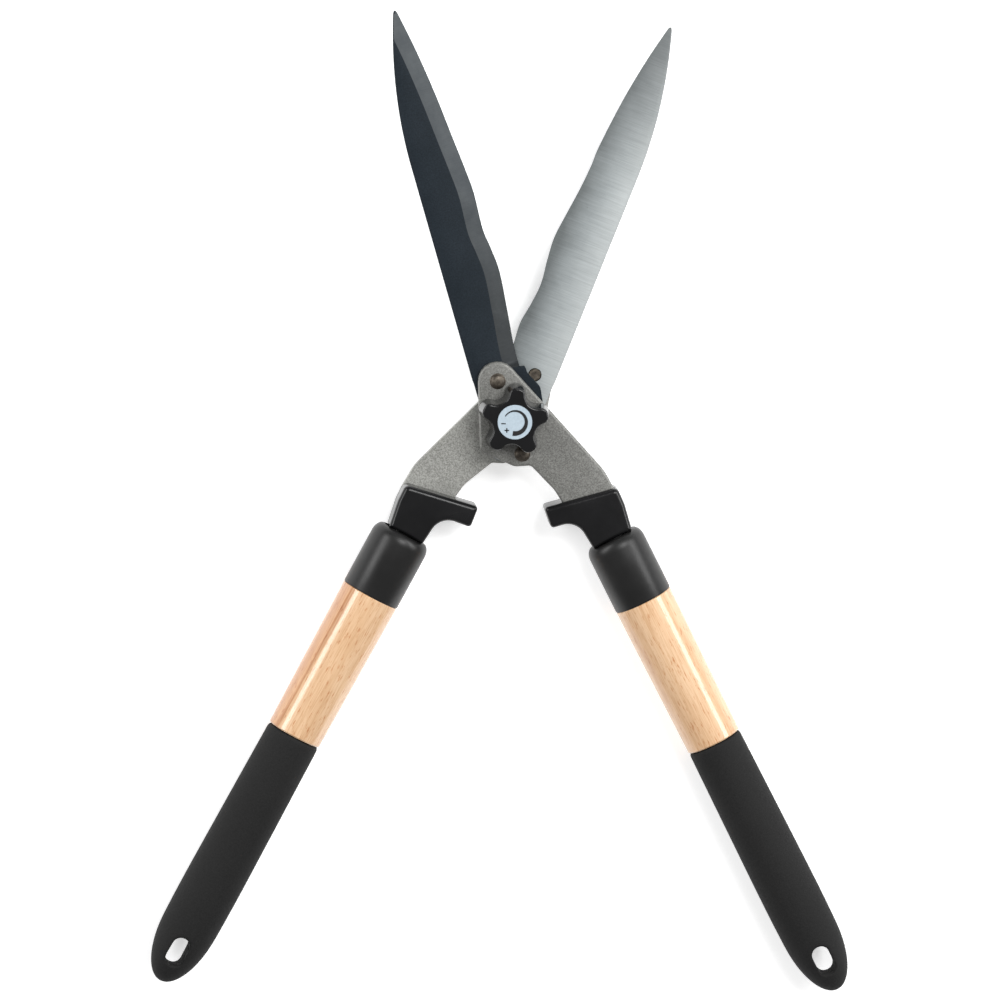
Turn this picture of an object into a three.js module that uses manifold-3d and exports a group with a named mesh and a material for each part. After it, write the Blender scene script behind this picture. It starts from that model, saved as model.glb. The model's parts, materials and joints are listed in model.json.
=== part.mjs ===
// Hedge shears with wavy blades, wooden handles and a star knob on the pivot.
// Millimetres, +Z up. The shears lie flat: +Y runs towards the blade tips and +Z out of the knob side.
// The origin is on the pivot axis, in the flat back face of the pivot bolt's head.
import * as THREE from "three";
import { mergeVertices } from "three/addons/utils/BufferGeometryUtils.js";
import Module from "manifold-3d";

const wasm = await Module();
wasm.setup();

// ---------- driving dimensions ----------

const GAP = 0.3; // between pieces that touch
const MID_HEIGHT = 15.5; // height of the sliding plane between the two blades, and of the handle axes

// Each half is built in its own flat frame: origin on the pivot, +Y down its handle, +X out to the
// handle's outer side, and +Z towards the other half. The second half is the first one turned over.
const FRONT = {
  side: "right",
  bladeAngle: 17.0, // from the centre line, degrees
  handleAngle: 27.5,
  spineOffset: 14.6, // from the pivot to the straight back of the blade
  handleOffset: 18.6, // from the pivot to the handle's axis
  bumper: { outer: 13.9, neckOuter: 11.0, neckInner: 11.4 }, // from the handle's axis
  upperRivet: [21, 12.3],
  edge: [
    [22, 25.6], [36, 25.8], [54, 27.5], [75, 29.2], [88, 28.2], [99, 26.9], [118, 27.6],
    [131, 26.7], [150, 24.8], [174, 22.4], [198, 19.1], [221.2, 14.8],
  ],
};
const BACK = {
  side: "left",
  bladeAngle: 20.9,
  handleAngle: 27.5,
  spineOffset: 14.0,
  handleOffset: 20.6,
  bumper: { outer: 12.2, neckOuter: 9.4, neckInner: 10.4 },
  upperRivet: [24.8, 11.2],
  edge: [
    [22, 27.0], [34, 27.4], [47, 28.5], [58, 27.0], [70, 26.1], [83, 27.7], [95, 28.7],
    [108, 27.5], [122, 25.9], [136, 24.9], [148, 24.8], [174, 22.4], [198, 18.7], [219.2, 14.2],
  ],
};

const BLADE = {
  thickness: 3.3,
  bevel: 8.0, // width of the ground band along the cutting edge
  edgeThickness: 0.4,
  spineStraight: 140, // where the back of the blade starts to curve in
  spineDrop: 0.00203, // inward curve of the back, per millimetre squared
  rootEnd: 40,
  slices: 44,
};
const TANG = { thickness: 4.5, endRadius: 10.1, tailWidth: 13, tailEnd: 150 };
const JOGGLE = { start: 60, end: 76 }; // where the tang steps in to the handle's axis
const LOWER_RIVET = [-19, 14.3];
const RIVET = { shank: 3.2, head: 4.1, dome: 1.6 };

const BUMPER = {
  lugTop: 48.8,
  lugBottom: 60.3,
  outerTop: 56.5,
  end: 79.7,
  halfDepth: 11.5,
  bevel: 1.4,
  spigotRadius: 10.8,
  spigotEnd: 92,
};
const STOP_ANGLE = 20.3; // each stop face lies on this radius from the centre line
const FERRULE = {
  start: 80,
  end: 116.4,
  mouth: 11.1,
  radius: 15.6,
  wall: 1.7,
  floor: 93,
  shoulder: 6,
  shoulderHeight: 3.8,
};
const WOOD = { radius: 15.55, endRadius: 14.7, end: 199.6, coreRadius: 11.6, coreEnd: 313 };
const GRIP = {
  start: 199.9,
  end: 346.4,
  lipRadius: 14.0,
  topRadius: 14.5,
  bellyRadius: 15.35,
  roundEnd: 34,
};
const HANG_HOLE = { centre: 327.8, length: 16.4, width: 9.4 };

const BOLT = { headRadius: 11, shank: 5, neck: 10, top: 36.8 };
const WASHER = { inner: 5.4, outer: 11, thickness: 1.6 };
const SPRING_WASHER = { inner: 5.5, outer: 9.9, rise: 0.95, thickness: 0.85 };
const KNOB = {
  lobes: 5,
  tipRadius: 19.6,
  lobeHalfAngle: 14.5,
  valley: 8.9,
  firstLobe: 14,
  height: 12.9, // above its seat on the spring washer
  skirt: 2.2, // below its seat, around the spring washer
  recess: 10.3,
};
const NUT = { acrossFlats: 17, height: 8 };
const LABEL = { radius: 9.0, thickness: 0.6 };

// Heights of the pivot stack, outwards from the sliding plane.
const BLADE_INNER = GAP / 2;
const BLADE_OUTER = BLADE_INNER + BLADE.thickness;
const TANG_INNER = BLADE_OUTER + GAP;
const TANG_OUTER = TANG_INNER + TANG.thickness;
const HEAD_TOP = MID_HEIGHT - TANG_OUTER - GAP;
const WASHER_BASE = MID_HEIGHT + TANG_OUTER + GAP;
const SPRING_BASE = WASHER_BASE + WASHER.thickness + GAP;
const KNOB_SEAT = SPRING_BASE + SPRING_WASHER.rise + SPRING_WASHER.thickness + GAP;
const KNOB_BASE = KNOB_SEAT - KNOB.skirt;
const KNOB_TOP = KNOB_SEAT + KNOB.height;

const radians = THREE.MathUtils.degToRad;

// ---------- solids ----------

function toSolid(geometry) {
  const bare = geometry.clone();
  bare.deleteAttribute("normal");
  bare.deleteAttribute("uv");
  const merged = mergeVertices(bare, 1e-4);
  return new wasm.Manifold(
    new wasm.Mesh({
      numProp: 3,
      vertProperties: merged.attributes.position.array,
      triVerts: new Uint32Array(merged.index.array),
    }),
  );
}

function toGeometry(solid) {
  const mesh = solid.getMesh();
  const geometry = new THREE.BufferGeometry();
  geometry.setAttribute("position", new THREE.BufferAttribute(mesh.vertProperties, 3));
  geometry.setIndex(new THREE.BufferAttribute(mesh.triVerts, 1));
  geometry.computeVertexNormals();
  return geometry;
}

// A flat plate between two heights, from an outline.
function plate(outline, low, high, segments = 4) {
  const geometry = new THREE.ExtrudeGeometry(outline, {
    depth: high - low,
    bevelEnabled: false,
    curveSegments: segments,
  });
  return toSolid(geometry.translate(0, 0, low));
}

function cylinder(x, y, radius, low, high, segments = 32) {
  const geometry = new THREE.CylinderGeometry(radius, radius, high - low, segments);
  geometry.rotateX(Math.PI / 2);
  return toSolid(geometry.translate(x, y, (low + high) / 2));
}

// A solid of revolution about a handle's axis, from [distance along the handle, radius] points.
function turned(profile, half, segments = 28) {
  const points = profile.map(([along, radius]) => new THREE.Vector2(radius, along));
  return toSolid(new THREE.LatheGeometry(points, segments).translate(half.handleOffset, 0, 0));
}

// A solid of revolution about the pivot, from [radius, height] points.
function turnedOnPivot(profile, segments = 32) {
  const points = profile.map(([radius, height]) => new THREE.Vector2(radius, height));
  return toSolid(new THREE.LatheGeometry(points, segments).rotateX(Math.PI / 2));
}

// ---------- outlines ----------

// A closed outline through [x, y, corner radius] corners, with an arc in each rounded corner.
function roundedOutline(corners) {
  const shape = new THREE.Shape();
  corners.forEach(([x, y, radius], i) => {
    const corner = new THREE.Vector2(x, y);
    const before = corners[(i + corners.length - 1) % corners.length];
    const after = corners[(i + 1) % corners.length];
    const back = new THREE.Vector2(before[0], before[1]).sub(corner).normalize();
    const on = new THREE.Vector2(after[0], after[1]).sub(corner).normalize();
    if (!radius) {
      if (i) shape.lineTo(x, y);
      else shape.moveTo(x, y);
      return;
    }
    const halfAngle = Math.acos(THREE.MathUtils.clamp(back.dot(on), -1, 1)) / 2;
    const start = corner.clone().addScaledVector(back, radius / Math.tan(halfAngle));
    const end = corner.clone().addScaledVector(on, radius / Math.tan(halfAngle));
    const inward = back.clone().add(on).normalize();
    const centre = corner.clone().addScaledVector(inward, radius / Math.sin(halfAngle));
    if (i) shape.lineTo(start.x, start.y);
    else shape.moveTo(start.x, start.y);
    const from = start.clone().sub(centre).angle();
    const to = end.clone().sub(centre).angle();
    shape.absarc(centre.x, centre.y, radius, from, to, back.cross(on) > 0);
  });
  shape.closePath();
  return shape;
}

// Where the two tangents of a circle meet that come from a point on each side of it.
function roundEndCorner(first, second, centre, radius) {
  const c = new THREE.Vector2(...centre);
  const tangent = (point, turn) => {
    const toCentre = c.clone().sub(point);
    return toCentre.rotateAround(new THREE.Vector2(), turn * Math.asin(radius / toCentre.length()));
  };
  const p = new THREE.Vector2(...first);
  const q = new THREE.Vector2(...second);
  const u = tangent(p, 1);
  const v = tangent(q, -1);
  const along = q.clone().sub(p).cross(v) / u.cross(v);
  const meet = p.addScaledVector(u, along);
  return [meet.x, meet.y, radius];
}

// A point beside a half's blade: distance up from the pivot, and inwards from the blade's back.
function besideBlade(half, along, inward) {
  const bend = radians(half.handleAngle - half.bladeAngle);
  const offset = inward - half.spineOffset;
  return [
    along * Math.sin(bend) + offset * Math.cos(bend),
    -along * Math.cos(bend) + offset * Math.sin(bend),
  ];
}

// A point beside a half's handle: distance down from the pivot, and outwards from the handle's axis.
function besideHandle(half, along, outward) {
  return [outward + half.handleOffset, along];
}

function bladeCorners(half, corners) {
  return corners.map(([along, inward, radius]) => [...besideBlade(half, along, inward), radius]);
}

function handleCorners(half, corners) {
  return corners.map(([along, outward, radius]) => [...besideHandle(half, along, outward), radius]);
}

// ---------- blades ----------

function rivetPlaces(half) {
  return [half.upperRivet, LOWER_RIVET].map(([along, inward]) => besideBlade(half, along, inward));
}

function spineInset(along) {
  return BLADE.spineDrop * Math.max(0, along - BLADE.spineStraight) ** 2;
}

// The five corners of the blade's section at one slice, as [inward, height].
function bladeSection(along, edge) {
  const spine = spineInset(along);
  const shoulder = Math.max(edge - BLADE.bevel, spine + 0.3);
  const ground = (edge - shoulder) / BLADE.bevel;
  const face = BLADE_INNER + BLADE.edgeThickness + ground * (BLADE.thickness - BLADE.edgeThickness);
  return [
    [spine, -BLADE_INNER],
    [edge, -BLADE_INNER],
    [edge, -BLADE_INNER - BLADE.edgeThickness],
    [shoulder, -face],
    [spine, -face],
  ];
}

// The ground part of a blade, lofted through its slices.
function groundBlade(half) {
  const wave = new THREE.SplineCurve(half.edge.map(([along, inward]) => new THREE.Vector2(along, inward)));
  const slices = wave.getPoints(BLADE.slices);
  const positions = [];
  const faces = [];
  const sides = 5;
  slices.forEach(({ x: along, y: edge }) => {
    bladeSection(along, edge).forEach(([inward, height]) => {
      positions.push(...besideBlade(half, along, inward), height);
    });
  });
  const last = (slices.length - 1) * sides;
  for (let i = 1; i < sides - 1; i++) {
    faces.push(0, i, i + 1);
    faces.push(last, last + i + 1, last + i);
  }
  for (let slice = 0; slice < last; slice += sides) {
    for (let i = 0; i < sides; i++) {
      const a = slice + i;
      const b = slice + ((i + 1) % sides);
      faces.push(a, a + sides, b);
      faces.push(b, a + sides, b + sides);
    }
  }
  const geometry = new THREE.BufferGeometry();
  geometry.setAttribute("position", new THREE.Float32BufferAttribute(positions, 3));
  geometry.setIndex(faces);
  return toSolid(geometry);
}

// The unground root of a blade, with its heel, under the tang.
function bladeRoot(half) {
  const shoulder = 17.6;
  const corners = bladeCorners(half, [
    [BLADE.rootEnd, 0, 0],
    [-13, 0.4, 5],
    [-25, 11, 6],
    [-19, 24, 8],
    [-2, 31.4, 10],
    [11.5, 33, 3],
    [20, 28.6, 3],
    [24.2, 28.2, 1.5],
    [24.2, 23.5, 0],
    [29, shoulder + 0.6, 3],
    [BLADE.rootEnd, shoulder, 0],
  ]);
  return plate(roundedOutline(corners), -BLADE_OUTER, -BLADE_INNER);
}

function blade(half) {
  let solid = bladeRoot(half).add(groundBlade(half));
  rivetPlaces(half).forEach(([x, y]) => {
    solid = solid.subtract(cylinder(x, y, RIVET.shank + GAP, -BLADE_OUTER - 1, 0, 20));
  });
  return solid.subtract(cylinder(0, 0, BOLT.shank + GAP, -BLADE_OUTER - 1, 0));
}

// ---------- tangs ----------

function tangOutline(half) {
  const outer = handleCorners(half, [[59.5, 12.3, 0], [46, 11.9, 30]]);
  const inner = bladeCorners(half, [[-11.5, -6.5, 4], [-24.5, 8.5, 8]]);
  const end = roundEndCorner(
    outer[1].slice(0, 2),
    inner[0].slice(0, 2),
    besideBlade(half, ...half.upperRivet),
    TANG.endRadius,
  );
  const tail = TANG.tailWidth / 2;
  const arm = handleCorners(half, [
    [26.3, -half.handleOffset - 2.6, 3],
    [43, -16, 20],
    [54, -14.7, 0],
    [56, -tail, 0],
    [JOGGLE.start - 1, -tail, 0],
    [JOGGLE.start - 1, tail, 0],
    [58.4, tail, 0],
  ]);
  return roundedOutline([...outer, end, ...inner, ...arm]);
}

// The side view of the step and tail, as a plate stood on edge along the handle, grown by a margin.
function tangTail(half, margin) {
  const inner = -TANG_INNER + margin;
  const outer = -TANG_OUTER - margin;
  const halfThickness = TANG.thickness / 2 + margin;
  const width = TANG.tailWidth + 2 * margin;
  const profile = roundedOutline([
    [JOGGLE.start - 6, inner, 0],
    [JOGGLE.start - 1, inner, 0],
    [JOGGLE.end - 1, halfThickness, 0],
    [TANG.tailEnd - 8, halfThickness, 0],
    [TANG.tailEnd + margin, 1, 0],
    [TANG.tailEnd + margin, -1, 0],
    [TANG.tailEnd - 8, -halfThickness, 0],
    [JOGGLE.end + 1, -halfThickness, 0],
    [JOGGLE.start + 1, outer, 0],
    [JOGGLE.start - 6, outer, 0],
  ]);
  const geometry = new THREE.ExtrudeGeometry(profile, { depth: width, bevelEnabled: false });
  geometry.translate(0, 0, -width / 2);
  // The profile's x runs down the handle, its y is the height, and the depth runs across.
  const turn = new THREE.Matrix4().makeBasis(
    new THREE.Vector3(0, 1, 0),
    new THREE.Vector3(0, 0, 1),
    new THREE.Vector3(1, 0, 0),
  );
  return toSolid(geometry.applyMatrix4(turn).translate(half.handleOffset, 0, 0));
}

function tang(half, pivotHole) {
  let solid = plate(tangOutline(half), -TANG_OUTER, -TANG_INNER).add(tangTail(half, 0));
  rivetPlaces(half).forEach(([x, y]) => {
    solid = solid.subtract(cylinder(x, y, RIVET.shank + GAP, -TANG_OUTER - 1, 0, 20));
  });
  return solid.subtract(pivotHole);
}

function roundPivotHole() {
  return cylinder(0, 0, BOLT.shank + GAP, -TANG_OUTER - 1, 0);
}

function squarePivotHole() {
  const width = BOLT.neck + 2 * GAP;
  return toSolid(new THREE.BoxGeometry(width, width, 2 * TANG_OUTER));
}

// A rivet: domed head on the tang, shank through both plates, and a flush end in the blade's inner face.
function rivet([x, y]) {
  const head = -TANG_OUTER - 0.1;
  const flush = -BLADE_INNER;
  const profile = [
    [0, flush],
    [RIVET.shank, flush],
    [RIVET.shank, head],
    [RIVET.head, head - 0.2],
    [RIVET.head - 0.3, head - 0.9],
    [RIVET.head - 1.4, head - RIVET.dome + 0.3],
    [0, head - RIVET.dome],
  ];
  const points = profile.map(([radius, height]) => new THREE.Vector2(radius, -height));
  const geometry = new THREE.LatheGeometry(points, 20);
  geometry.rotateX(-Math.PI / 2);
  return toSolid(geometry.translate(x, y, 0));
}

// ---------- handles ----------

// The buffer block between tang and handle, whose inward lug stops the blades as they close.
function bumper(half) {
  const b = BUMPER;
  const width = half.bumper;
  const lugSlope = Math.tan(radians(half.handleAngle - STOP_ANGLE));
  const lug = (along) => -half.handleOffset - along * lugSlope;
  const outline = roundedOutline(
    handleCorners(half, [
      [b.lugTop, lug(b.lugTop), 1.6],
      [b.outerTop, width.outer, 3],
      [66, width.outer - 0.4, 12],
      [b.end, width.neckOuter, 0],
      [b.end, -width.neckInner, 0],
      [62.6, -width.neckInner - 1.4, 9],
      [b.lugBottom, lug(b.lugBottom), 1.8],
    ]),
  );
  const block = new THREE.ExtrudeGeometry(outline, {
    depth: 2 * (b.halfDepth - b.bevel),
    bevelEnabled: true,
    bevelSize: b.bevel,
    bevelOffset: -b.bevel,
    bevelThickness: b.bevel,
    bevelSegments: 2,
    curveSegments: 4,
  });
  const pocket = roundedOutline(
    handleCorners(half, [[44, -15.2, 0], [54.6, -15.2, 0], [60.2, 12.8, 0], [44, 12.8, 0]]),
  );
  const spigot = turned(
    [
      [b.end - 1.5, 0],
      [b.end - 1.5, b.spigotRadius],
      [b.spigotEnd, b.spigotRadius],
      [b.spigotEnd, 0],
    ],
    half,
  );
  return toSolid(block.translate(0, 0, b.bevel - b.halfDepth))
    .add(spigot)
    .subtract(plate(pocket, -TANG_OUTER - GAP, -TANG_INNER + GAP))
    .subtract(tangTail(half, GAP));
}

// The cup that covers the joint of the bumper and the wood.
function ferrule(half) {
  const f = FERRULE;
  const bore = f.radius - f.wall;
  const shoulder = new THREE.EllipseCurve(
    f.start + f.shoulder,
    f.radius - f.shoulderHeight,
    f.shoulder,
    f.shoulderHeight,
    Math.PI,
    Math.PI / 2,
    true,
  );
  return turned(
    [
      [f.start, f.mouth],
      ...shoulder.getPoints(5).map(({ x, y }) => [x, y]),
      [f.end, f.radius],
      [f.end, bore],
      [f.floor, bore],
      [f.floor, f.mouth],
      [f.start, f.mouth],
    ],
    half,
  );
}

function woodHandle(half) {
  const tenon = FERRULE.radius - FERRULE.wall - GAP;
  const solid = turned(
    [
      [FERRULE.floor + GAP, 0],
      [FERRULE.floor + GAP, tenon],
      [FERRULE.end + GAP, tenon],
      [FERRULE.end + GAP, WOOD.radius],
      [WOOD.end - 0.6, WOOD.endRadius],
      [WOOD.end, WOOD.endRadius - 0.6],
      [WOOD.end, WOOD.coreRadius],
      [WOOD.coreEnd - 3, WOOD.coreRadius],
      [WOOD.coreEnd, WOOD.coreRadius - 2],
      [WOOD.coreEnd, 0],
    ],
    half,
  );
  return solid.subtract(tangTail(half, GAP));
}

// The rubber sleeve: it swells towards its round end, which an oval hole goes through.
function grip(half) {
  const g = GRIP;
  const swell = new THREE.SplineCurve([
    new THREE.Vector2(g.start + 1, g.topRadius),
    new THREE.Vector2(g.start + 50, g.topRadius + 0.6),
    new THREE.Vector2(g.end - 56, g.bellyRadius),
    new THREE.Vector2(g.end - g.roundEnd - 2, g.bellyRadius - 0.1),
  ]);
  const roundEnd = new THREE.EllipseCurve(
    g.end - g.roundEnd,
    0,
    g.roundEnd,
    g.bellyRadius - 0.3,
    Math.PI / 2,
    0.02,
    true,
  );
  const bore = WOOD.coreRadius + GAP;
  const profile = [
    [g.start, bore],
    [g.start, g.lipRadius],
    ...swell.getPoints(5).map(({ x, y }) => [x, y]),
    ...roundEnd.getPoints(7).map(({ x, y }) => [x, y]),
    [g.end, 0],
    [WOOD.coreEnd + GAP, 0],
    [WOOD.coreEnd + GAP, bore],
    [g.start, bore],
  ];
  const h = HANG_HOLE;
  const reach = (h.length - h.width) / 2;
  const [x, y] = besideHandle(half, h.centre, 0);
  const hole = new THREE.Shape();
  hole.absarc(x, y + reach, h.width / 2, 0, Math.PI, false);
  hole.absarc(x, y - reach, h.width / 2, Math.PI, 2 * Math.PI, false);
  return turned(profile, half).subtract(plate(hole, -30, 30));
}

// ---------- pivot ----------

function pivotBolt() {
  const head = turnedOnPivot([
    [0, 0],
    [BOLT.headRadius - 1.2, 0],
    [BOLT.headRadius, 1.2],
    [BOLT.headRadius, HEAD_TOP],
    [0, HEAD_TOP],
  ]);
  const neckTop = MID_HEIGHT - TANG_INNER;
  const neck = new THREE.BoxGeometry(BOLT.neck, BOLT.neck, neckTop - HEAD_TOP + 1);
  neck.rotateZ(-radians(BACK.handleAngle));
  neck.translate(0, 0, (neckTop + HEAD_TOP - 1) / 2);
  return head
    .add(toSolid(neck))
    .add(cylinder(0, 0, BOLT.shank, HEAD_TOP - 1, BOLT.top));
}

function flatWasher() {
  const w = WASHER;
  return ring(w.inner, w.outer, WASHER_BASE, WASHER_BASE + w.thickness, 0);
}

function springWasher() {
  const w = SPRING_WASHER;
  return ring(w.inner, w.outer, SPRING_BASE, SPRING_BASE + w.thickness, w.rise);
}

// A washer whose inner rim stands higher than its outer rim by the rise.
function ring(inner, outer, low, high, rise) {
  return turnedOnPivot([
    [inner, low + rise],
    [outer, low],
    [outer, high],
    [inner, high + rise],
    [inner, low + rise],
  ]);
}

function starOutline() {
  const corners = [];
  for (let lobe = 0; lobe < KNOB.lobes; lobe++) {
    const middle = KNOB.firstLobe + (lobe * 360) / KNOB.lobes;
    const polar = (radius, degrees, round) => [
      radius * Math.cos(radians(degrees)),
      radius * Math.sin(radians(degrees)),
      round,
    ];
    corners.push(polar(KNOB.tipRadius, middle - KNOB.lobeHalfAngle, 2.9));
    corners.push(polar(KNOB.tipRadius, middle + KNOB.lobeHalfAngle, 2.9));
    corners.push(polar(KNOB.valley, middle + 180 / KNOB.lobes, 6.4));
  }
  return roundedOutline(corners);
}

function hexagon(acrossFlats) {
  const corners = [0, 1, 2, 3, 4, 5].map((i) => {
    const angle = (i * Math.PI) / 3;
    const radius = acrossFlats / Math.sqrt(3);
    return [radius * Math.cos(angle), radius * Math.sin(angle), 0];
  });
  return roundedOutline(corners);
}

function knob() {
  const bevel = 1.2;
  const star = new THREE.ExtrudeGeometry(starOutline(), {
    depth: KNOB_TOP - KNOB_BASE - 2 * bevel,
    bevelEnabled: true,
    bevelSize: bevel,
    bevelOffset: -bevel,
    bevelThickness: bevel,
    bevelSegments: 2,
    curveSegments: 3,
  });
  const nutRoom = KNOB_SEAT + NUT.height + 2 * GAP;
  return toSolid(star.translate(0, 0, KNOB_BASE + bevel))
    .subtract(cylinder(0, 0, KNOB.recess, KNOB_BASE - 1, KNOB_SEAT))
    .subtract(plate(hexagon(NUT.acrossFlats + 2 * GAP), KNOB_SEAT - 1, nutRoom))
    .subtract(cylinder(0, 0, BOLT.shank + GAP, KNOB_SEAT, BOLT.top + GAP))
    .subtract(cylinder(0, 0, LABEL.radius + GAP, KNOB_TOP - LABEL.thickness - GAP, KNOB_TOP + 1));
}

function knobNut() {
  const low = KNOB_SEAT + GAP;
  return plate(hexagon(NUT.acrossFlats), low, low + NUT.height).subtract(
    cylinder(0, 0, BOLT.shank + GAP, low - 1, low + NUT.height + 1),
  );
}

function knobLabel() {
  return cylinder(0, 0, LABEL.radius, KNOB_TOP - LABEL.thickness, KNOB_TOP);
}

// ---------- assembly ----------

const MATERIALS = {
  blackBlade: { color: 0x23272e, roughness: 0.42, metalness: 0.85 },
  brightBlade: { color: 0xa9acac, roughness: 0.32, metalness: 1 },
  hammeredPaint: { color: 0x8f8f89, roughness: 0.45, metalness: 0.55 },
  rivetSteel: { color: 0x6d665b, roughness: 0.4, metalness: 0.9 },
  platedSteel: { color: 0xa8aaad, roughness: 0.3, metalness: 1 },
  glossPlastic: { color: 0x141416, roughness: 0.22, metalness: 0 },
  satinPlastic: { color: 0x1b1b1d, roughness: 0.5, metalness: 0 },
  wood: { color: 0xdfb07c, roughness: 0.35, metalness: 0 },
  rubber: { color: 0x1d1d1e, roughness: 0.85, metalness: 0 },
  label: { color: 0xb5cbe0, roughness: 0.4, metalness: 0 },
};

function piece(name, solid, material) {
  const mesh = new THREE.Mesh(toGeometry(solid), new THREE.MeshStandardMaterial(MATERIALS[material]));
  mesh.name = name;
  return mesh;
}

// One half of the shears, in its own flat frame.
function halfShears(name, half, bladeMaterial, pivotHole) {
  const group = new THREE.Group();
  const [upper, lower] = rivetPlaces(half);
  group.add(
    piece(name + "_blade", blade(half), bladeMaterial),
    piece(name + "_tang", tang(half, pivotHole), "hammeredPaint"),
    piece(name + "_rivet_upper", rivet(upper), "rivetSteel"),
    piece(name + "_rivet_lower", rivet(lower), "rivetSteel"),
    piece(half.side + "_bumper", bumper(half), "glossPlastic"),
    piece(half.side + "_ferrule", ferrule(half), "satinPlastic"),
    piece(half.side + "_handle", woodHandle(half), "wood"),
    piece(half.side + "_grip", grip(half), "rubber"),
  );
  return group;
}

const front = halfShears("front", FRONT, "blackBlade", roundPivotHole());
front.rotation.set(Math.PI, 0, -radians(FRONT.handleAngle));
front.position.z = MID_HEIGHT;

const back = halfShears("back", BACK, "brightBlade", squarePivotHole());
back.rotation.z = radians(180 - BACK.handleAngle);
back.position.z = MID_HEIGHT;

const shears = new THREE.Group();
shears.add(
  front,
  back,
  piece("pivot_bolt", pivotBolt(), "platedSteel"),
  piece("flat_washer", flatWasher(), "platedSteel"),
  piece("spring_washer", springWasher(), "platedSteel"),
  piece("star_knob", knob(), "glossPlastic"),
  piece("knob_nut", knobNut(), "platedSteel"),
  piece("knob_label", knobLabel(), "label"),
);

export default shears;
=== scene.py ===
"""Hedge shears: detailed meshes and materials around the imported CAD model."""

import json
import math

import bmesh
import bpy
from mathutils import Matrix, Vector


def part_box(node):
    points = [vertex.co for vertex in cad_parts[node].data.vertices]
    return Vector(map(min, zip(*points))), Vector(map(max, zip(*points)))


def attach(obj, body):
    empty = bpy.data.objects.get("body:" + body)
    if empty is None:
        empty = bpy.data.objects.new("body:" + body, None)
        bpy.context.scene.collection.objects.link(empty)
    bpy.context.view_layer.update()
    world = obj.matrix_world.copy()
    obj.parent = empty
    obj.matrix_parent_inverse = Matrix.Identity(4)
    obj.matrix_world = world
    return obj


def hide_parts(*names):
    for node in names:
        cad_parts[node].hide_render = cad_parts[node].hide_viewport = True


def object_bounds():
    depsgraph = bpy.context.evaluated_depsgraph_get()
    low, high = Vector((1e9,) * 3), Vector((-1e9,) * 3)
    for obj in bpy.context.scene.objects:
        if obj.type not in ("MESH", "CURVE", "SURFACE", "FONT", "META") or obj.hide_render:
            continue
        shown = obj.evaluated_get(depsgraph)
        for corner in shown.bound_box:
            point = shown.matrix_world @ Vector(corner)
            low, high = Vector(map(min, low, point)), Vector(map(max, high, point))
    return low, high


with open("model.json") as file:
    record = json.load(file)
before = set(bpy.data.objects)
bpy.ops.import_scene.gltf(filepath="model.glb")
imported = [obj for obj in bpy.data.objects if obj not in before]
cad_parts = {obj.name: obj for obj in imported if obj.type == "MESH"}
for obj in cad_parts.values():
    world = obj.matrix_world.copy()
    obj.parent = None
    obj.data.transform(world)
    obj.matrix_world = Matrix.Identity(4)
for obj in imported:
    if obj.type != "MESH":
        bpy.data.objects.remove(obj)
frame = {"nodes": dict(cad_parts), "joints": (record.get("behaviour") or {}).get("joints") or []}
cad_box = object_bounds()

MM = 0.001

# ---------- sizes, in millimetres ----------

# A half's own frame: origin on the pivot, +Y down its handle, +X to the handle's outer side,
# +Z towards the other half. A blade's frame: +Y up the blade and +X inwards from its back.
HALVES = {
    "front": {
        "body": "front_half",
        "side": "right",
        "blade_angle": 17.0,
        "handle_angle": 27.5,
        "spine_offset": 14.6,
        "handle_offset": 18.6,
        "bumper": {"outer": 13.9, "neck_outer": 11.0, "neck_inner": 11.4},
        "upper_rivet": (21, 12.3),
        "edge": [
            (22, 25.6), (36, 25.8), (54, 27.5), (75, 29.2), (88, 28.2), (99, 26.9), (118, 27.6),
            (131, 26.7), (150, 24.8), (174, 22.4), (198, 19.1), (221.2, 14.8),
        ],
    },
    "back": {
        "body": "back_half",
        "side": "left",
        "blade_angle": 20.9,
        "handle_angle": 27.5,
        "spine_offset": 14.0,
        "handle_offset": 20.6,
        "bumper": {"outer": 12.2, "neck_outer": 9.4, "neck_inner": 10.4},
        "upper_rivet": (24.8, 11.2),
        "edge": [
            (22, 27.0), (34, 27.4), (47, 28.5), (58, 27.0), (70, 26.1), (83, 27.7), (95, 28.7),
            (108, 27.5), (122, 25.9), (136, 24.9), (148, 24.8), (174, 22.4), (198, 18.7), (219.2, 14.2),
        ],
    },
}
LOWER_RIVET = (-19, 14.3)
RIVET_HOLE = 3.5
BOLT_HOLE = 5.3

# Heights of a half's layers, from the plane between the blades.
BLADE_INNER = 0.15
BLADE_OUTER = 3.45
TANG_INNER = 3.75
TANG_OUTER = 8.25

# The blade's section.
EDGE_THICKNESS = 0.4
BEVEL_WIDTH = 8.0
HEEL_END = 24.2
HOLLOW = 0.22
CORNER_EASE = 0.25
BACK_CURVE = 0.00203
BACK_CURVE_START = 140
NOSE = 1.9

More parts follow.
